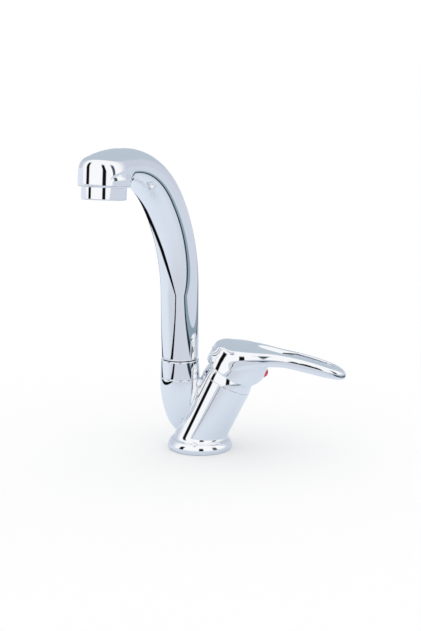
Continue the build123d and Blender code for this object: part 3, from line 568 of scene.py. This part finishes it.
cap = {"offset": 1.35, "wall": 1.6, "rimRadius": 23.8, "rimHeight": 4.0, "bellyRadius": 24.3, "bellyHeight": 16.0,
       "edge": (23.8, 25.0), "shoulder": (20.0, 30.7), "crown": (12.0, 34.4), "top": 36.6, "middle": 18.0,
       "rim": ((-28.0, 12.2), (-22.0, 10.7), (-13.4, 9.3), (-3.0, 8.6), (6.0, 8.3), (18.3, 10.3), (24.0, 15.5),
               (28.0, 21.0)), "rimEdge": 0.8, "blend": 1.0, "hollowRise": 21.0}
lever = {
    "x": (10.0, 20.0, 28.0, 36.0, 46.0, 56.0, 66.0, 80.0, 92.0, 100.0, 106.0, 111.0, 115.0, 117.5, 118.7, 119.3),
    "z": (71.5, 73.5, 75.5, 76.8, 77.0, 76.2, 74.9, 72.2, 69.2, 67.0, 65.2, 63.8, 62.8, 62.2, 61.8, 61.6),
    "halfWidth": (13.0, 20.6, 24.2, 24.4, 21.6, 17.6, 15.0, 14.0, 14.0, 14.0, 13.3, 11.5, 8.8, 5.9, 3.5, 0.0),
    "rise": (13.0, 14.8, 14.2, 12.2, 10.2, 9.0, 8.0, 7.5, 7.2, 6.8, 6.4, 5.8, 4.7, 3.4, 2.2, 0.0),
    "drop": (6.5, 7.9, 8.3, 7.5, 6.9, 5.7, 4.9, 5.2, 5.2, 5.1, 4.5, 4.1, 3.7, 2.9, 2.0, 0.0),
    "topFullness": 0.78, "flankFullness": 0.84,
    "slot": (68.0, 103.0, 6.0), "slotEdge": 2.4, "scoop": (64.0, 86.5), "scoopSlope": 14.7,
    "scoopSize": (25.0, 9.0), "scoopBlend": 1.0,
}
# inside the cap: the boss with its square hole, and the screw's way in behind the index
fixing = {"bossRadius": 6.5, "bossBottom": 15.5, "squareHalf": 3.525, "squareTop": 27.0, "screwHeight": 21.0,
          "screwBoss": (4.4, 3.5), "screwHole": (2.5, 3.5), "seat": (4.0, 24.85), "shank": (2.9, 20.85),
          "cutEdge": 0.4}
capLine = np.vstack([
    bentLine([(cap["rimRadius"], cap["rimHeight"]), (cap["bellyRadius"], cap["bellyHeight"]), cap["edge"]],
             (0.12, 1), (-0.12, 1))[:-1],
    bentLine([cap["edge"], cap["shoulder"], cap["crown"], (0, cap["top"])], (-0.1, 1), (-1, 0)),
])
capShape = turnedShape(np.vstack([[(0.0, 0.0), (12.0, 0.0), (22.5, 0.5)], capLine]), cap["middle"])
rimAt = easedCurve(*zip(*cap["rim"]))
fromTip = np.sqrt(lever["x"][-1] - np.array(lever["x"]))[::-1]
leverMiddleAt = easedCurve(fromTip, lever["z"][::-1])
leverWidthAt = easedCurve(fromTip, lever["halfWidth"][::-1])
leverRiseAt = easedCurve(fromTip, lever["rise"][::-1])
leverDropAt = easedCurve(fromTip, lever["drop"][::-1])


# Distance to the lever: across a section, |y / w| to the power n plus |h / s| to the power n is one, with a larger
# n, a squarer corner, below the widest line than above it
def leverField(x, y, z):
    t = np.sqrt(np.maximum(lever["x"][-1] - x, 1e-6))
    width = np.maximum(leverWidthAt(t), 0.02)
    height = z - leverMiddleAt(t)
    above = height > 0
    size = np.maximum(np.where(above, leverRiseAt(t), leverDropAt(t)), 0.02)
    power = np.log(0.5) / np.log(np.where(above, lever["topFullness"], lever["flankFullness"]))
    a, b = np.abs(y) / width + 1e-6, np.abs(height) / size + 1e-6
    g = (a**power + b**power) ** (1 / power)
    steep = g ** (1 - power) * np.hypot(a ** (power - 1) / width, b ** (power - 1) / size)
    return np.maximum((g - 1) / steep, np.maximum(lever["x"][0] - x, x - lever["x"][-1]))


# Distance to the handle: the turned cap and the lever join in a filled corner, the slot and an oval scoop over it
# are cut away together, the rim follows its curve, and the cap is hollow but for its two bosses
def handleField(x, y, z):
    out, up = leaning(x, z)
    out = out - cap["offset"]
    radius = np.hypot(out, y)
    solid = roundMin(capShape(radius, up), leverField(x, y, z), cap["blend"])
    slotStart, slotEnd, slotHalf = lever["slot"]
    hole = np.hypot(x - np.clip(x, slotStart, slotEnd), y) - slotHalf
    slope = math.radians(lever["scoopSlope"])
    along = (x - lever["scoop"][0]) * math.cos(slope) - (z - lever["scoop"][1]) * math.sin(slope)
    square = (x - lever["scoop"][0]) * math.sin(slope) + (z - lever["scoop"][1]) * math.cos(slope)
    scoop = oval(along, np.hypot(y, square), *lever["scoopSize"])
    solid = roundMax(solid, -roundMin(hole, scoop, lever["scoopBlend"]), lever["slotEdge"])
    outFromSeam = out + cap["offset"]
    solid = roundMax(solid, rimAt(outFromSeam) - up, cap["rimEdge"])
    raised = 2 * cap["wall"] * np.maximum(up - cap["bellyHeight"], 0) / cap["hollowRise"]
    hollow = capShape(radius * (1 + cap["wall"] / cap["bellyRadius"]), up + raised)
    boss = np.maximum(np.hypot(outFromSeam, y) - fixing["bossRadius"], fixing["bossBottom"] - up)
    fromScrew = np.hypot(y, up - fixing["screwHeight"])
    screwBoss, screwHole, seat, shank = (
        np.maximum(fromScrew - size, start - outFromSeam)
        for size, start in (fixing["screwBoss"], fixing["screwHole"], fixing["seat"], fixing["shank"])
    )
    hollow = np.maximum(hollow, -np.minimum(boss, screwBoss))
    squareHole = np.maximum(np.abs(outFromSeam), np.abs(y)) - fixing["squareHalf"]
    squareHole = np.maximum(squareHole, up - fixing["squareTop"])
    cuts = np.minimum(np.minimum(hollow, squareHole), np.minimum(screwHole, np.minimum(seat, shank)))
    return roundMax(solid, -cuts, fixing["cutEdge"])


makePiece("loopHandle", skin(handleField, (4, -26, 54), (121, 26, 93), 0.56 * fine),
          finishes["chromePlate"], "lever", "lever_chrome", "handle")

# the index: one raised lens in two halves, red on the hot side and blue on the cold side
indexLens = {"height": 21.0, "seat": 24.95, "radius": 3.85, "rimEdge": 0.5, "ballRadius": 4.4, "top": 27.6,
             "gap": 0.05, "floorBandEdge": 0.2, "middle": 26.2, "halfMiddle": 2.0, "box": (4, 3, 5)}


# Half a lens: inside the ball, the rim's cylinder, above the seat, and on one side of the plane y = 0
def indexHalf(side):
    def field(x, y, z):
        out, up = leaning(x, z)
        away = np.hypot(y, up - indexLens["height"])
        ball = np.hypot(away, out - indexLens["top"] + indexLens["ballRadius"]) - indexLens["ballRadius"]
        lens = roundMax(ball, away - indexLens["radius"], indexLens["rimEdge"])
        lens = np.maximum(lens, indexLens["seat"] - out)
        return roundMax(lens, indexLens["gap"] - side * y, indexLens["floorBandEdge"])

    return field


for side, name, finish, slotName, node in (
    (-1, "redIndex", "redEnamel", "index_red", "index_hot"),
    (1, "blueIndex", "blueEnamel", "index_blue", "index_cold"),
):
    middle = np.array(leaningPoint(indexLens["middle"], indexLens["height"], side * indexLens["halfMiddle"]))
    half = np.array(indexLens["box"])
    makePiece(name, skin(indexHalf(side), middle - half, middle + half, 0.22 * fine),
              finishes[finish], "lever", slotName, node)

# The studio's painted reflections, in mm and degrees. Only glossy rays see them, so only chrome shows them and the
# camera sees white.
# On the floor, a pale painted reflection that stops at a dark band on either side, with a grey band beyond the
# right one. In the world, a white surround with painted dark bands low down to the left, behind the camera and to
# the right. Each band is its middle and half its width.
studio = {
    "floor": 30000.0, "floorLeftDarkReflection": (-268.0, 34.0), "floorRightDarkReflection": (335.0, 34.0), "floorFarGreyReflection": (425.0, 60.0),
    "floorBandEdge": 6.0, "floorReflectionDepth": (-350.0, -50.0), "floorReflectionSide": (60.0, 300.0),
    "leftDarkWorldReflection": (-71.0, 8.0), "middleDarkWorldReflection": (5.0, 8.0), "rightDarkWorldReflection": (57.0, 8.0), "worldBandEdge": 2.0,
    "worldBandTop": (0.5, 0.75), "backReflection": (0.0, 0.5), "overheadReflectionWay": (0.0, 0.707, 0.707), "overheadReflection": (0.68, 0.8),
}
# tones of the painted reflections that glossy rays see; white is what the camera sees
studioTones = {
    "white": "#FFFFFF", "floorReflectionFront": "#D3D8E1", "floorReflectionBehind": "#E2EAF4", "floorReflectionAside": "#D2D9E5",
    "floorLeftDarkReflection": "#0B0C0E", "floorRightDarkReflection": "#2A3742", "floorFarGreyReflection": "#8FA2AF",
    "backReflection": "#CDD2DE", "overheadReflection": "#BDC9D3",
    "leftDarkWorldReflection": "#0B0C0E", "middleDarkWorldReflection": "#101214", "rightDarkWorldReflection": "#4A5862",
}


# How far inside a band a value lies: 1 up to half its width from its middle, falling to 0 across a soft edge
def insideBand(tree, value, middle, half, edge):
    away = addNode(tree, "ShaderNodeMath", {0: value, 1: middle}, operation="SUBTRACT")
    distance = addNode(tree, "ShaderNodeMath", {0: away.outputs["Value"]}, operation="ABSOLUTE")
    inside = addNode(tree, "ShaderNodeMapRange", {"Value": distance.outputs["Value"], "From Min": half - edge,
                                                  "From Max": half + edge, "To Min": 1.0, "To Max": 0.0},
                     interpolation_type="SMOOTHSTEP")
    return inside.outputs["Result"]


# The floor is white to the camera. Its painted reflection in chrome is a pale cool grey towards the camera, a
# lighter blue elsewhere, and the dark bands
floorFinish = bpy.data.materials.new("paleFloor")
floorFinish.use_nodes = True
tree = floorFinish.node_tree
tree.nodes.clear()
rays = addNode(tree, "ShaderNodeLightPath")
place = addNode(tree, "ShaderNodeTexCoord")
parts = addNode(tree, "ShaderNodeSeparateXYZ", {"Vector": place.outputs["Object"]})
depth = addNode(tree, "ShaderNodeMapRange", {
    "Value": parts.outputs["Y"], "From Min": studio["floorReflectionDepth"][0] * mm,
    "From Max": studio["floorReflectionDepth"][1] * mm}, interpolation_type="SMOOTHSTEP")
aside = addNode(tree, "ShaderNodeMapRange", {
    "Value": parts.outputs["X"], "From Min": studio["floorReflectionSide"][0] * mm,
    "From Max": studio["floorReflectionSide"][1] * mm}, interpolation_type="SMOOTHSTEP")
paintedReflectionBehind = blendColours(tree, aside.outputs["Result"], studioTones["floorReflectionBehind"], studioTones["floorReflectionAside"])
paintedFloorReflection = blendColours(tree, depth.outputs["Result"], studioTones["floorReflectionFront"], paintedReflectionBehind)
for band in ("floorFarGreyReflection", "floorLeftDarkReflection", "floorRightDarkReflection"):
    middle, half = studio[band]
    factor = insideBand(tree, parts.outputs["X"], middle * mm, half * mm, studio["floorBandEdge"] * mm)
    paintedFloorReflection = blendColours(tree, factor, paintedFloorReflection, studioTones[band])
shade = blendColours(tree, rays.outputs["Is Glossy Ray"], studioTones["white"], paintedFloorReflection)
shader = addNode(tree, "ShaderNodeBsdfDiffuse", {"Color": shade})
addNode(tree, "ShaderNodeOutputMaterial", {"Surface": shader.outputs["BSDF"]})
size = studio["floor"] * mm
floorMesh = bpy.data.meshes.new("studioFloor")
floorMesh.from_pydata([(-size, -size, 0), (size, -size, 0), (size, size, 0), (-size, size, 0)], [], [(0, 1, 2, 3)])
floorMesh.materials.append(floorFinish)
floor = bpy.data.objects.new("studioFloor", floorMesh)
bpy.context.scene.collection.objects.link(floor)

# Plain white surroundings at strength 1. For glossy rays only, painted reflections: a grey-blue overhead tone that
# leans to the back, a lavender tone towards the back and the painted dark bands low down. They are set by how far
# the direction points along the overhead tone's own direction, how far towards +Y, and its compass angle from the
# front, the angle of +X over -Y, all of the world's own
world = bpy.data.worlds.new("softStudio")
bpy.context.scene.world = world
world.use_nodes = True
tree = world.node_tree
tree.nodes.clear()
rays = addNode(tree, "ShaderNodeLightPath")
way = addNode(tree, "ShaderNodeTexCoord")
parts = addNode(tree, "ShaderNodeSeparateXYZ", {"Vector": way.outputs["Generated"]})
backward = addNode(tree, "ShaderNodeMapRange", {
    "Value": parts.outputs["Y"], "From Min": studio["backReflection"][0], "From Max": studio["backReflection"][1]},
    interpolation_type="SMOOTHSTEP")
upward = addNode(tree, "ShaderNodeVectorMath", {0: way.outputs["Generated"], 1: studio["overheadReflectionWay"]},
                 operation="DOT_PRODUCT")
overhead = addNode(tree, "ShaderNodeMapRange", {
    "Value": upward.outputs["Value"], "From Min": studio["overheadReflection"][0], "From Max": studio["overheadReflection"][1]},
    interpolation_type="SMOOTHSTEP")
paintedBackReflection = blendColours(tree, backward.outputs["Result"], studioTones["white"], studioTones["backReflection"])
paintedWorldReflection = blendColours(tree, overhead.outputs["Result"], paintedBackReflection, studioTones["overheadReflection"])
frontward = addNode(tree, "ShaderNodeMath", {0: parts.outputs["Y"], 1: -1.0}, operation="MULTIPLY")
compass = addNode(tree, "ShaderNodeMath", {0: parts.outputs["X"], 1: frontward.outputs["Value"]},
                  operation="ARCTAN2")
low = addNode(tree, "ShaderNodeMapRange", {
    "Value": parts.outputs["Z"], "From Min": studio["worldBandTop"][0], "From Max": studio["worldBandTop"][1],
    "To Min": 1.0, "To Max": 0.0}, interpolation_type="SMOOTHSTEP")
for band in ("leftDarkWorldReflection", "middleDarkWorldReflection", "rightDarkWorldReflection"):
    middle, half = studio[band]
    factor = insideBand(tree, compass.outputs["Value"], math.radians(middle), math.radians(half),
                        math.radians(studio["worldBandEdge"]))
    lowBand = addNode(tree, "ShaderNodeMath", {0: factor, 1: low.outputs["Result"]}, operation="MULTIPLY")
    paintedWorldReflection = blendColours(tree, lowBand.outputs["Value"], paintedWorldReflection, studioTones[band])
# painted reflection: glossy rays see these tones, the camera and the diffuse light see white
seen = blendColours(tree, rays.outputs["Is Glossy Ray"], studioTones["white"], paintedWorldReflection)
light = addNode(tree, "ShaderNodeBackground", {"Color": seen, "Strength": 1.0})
addNode(tree, "ShaderNodeOutputWorld", {"Surface": light.outputs["Background"]})
print("floor and light made")

# The camera at the photograph's angle: degrees, mm, and a lens on a 36 mm wide sensor. Target is the point looked
# at, and back points from it to the camera
view = {"azimuth": 1.25, "elevation": 11.0, "distance": 1150.0, "height": 111.0, "side": 8.5, "lens": 80.61,
        "sensor": 36.0}
azimuth, elevation = math.radians(view["azimuth"]), math.radians(view["elevation"])
target = Vector((view["side"] * math.cos(azimuth), view["side"] * math.sin(azimuth), view["height"])) * mm
back = Vector((math.sin(azimuth) * math.cos(elevation), -math.cos(azimuth) * math.cos(elevation),
               math.sin(elevation)))
camera = bpy.data.objects.new("camera", bpy.data.cameras.new("camera"))
bpy.context.scene.collection.objects.link(camera)
camera.location = target + back * view["distance"] * mm
camera.rotation_euler = back.to_track_quat("Z", "Y").to_euler()
camera.data.lens, camera.data.sensor_width = view["lens"], view["sensor"]
bpy.context.scene.camera = camera
bpy.context.scene.view_settings.view_transform = "Standard"
print("stage set")
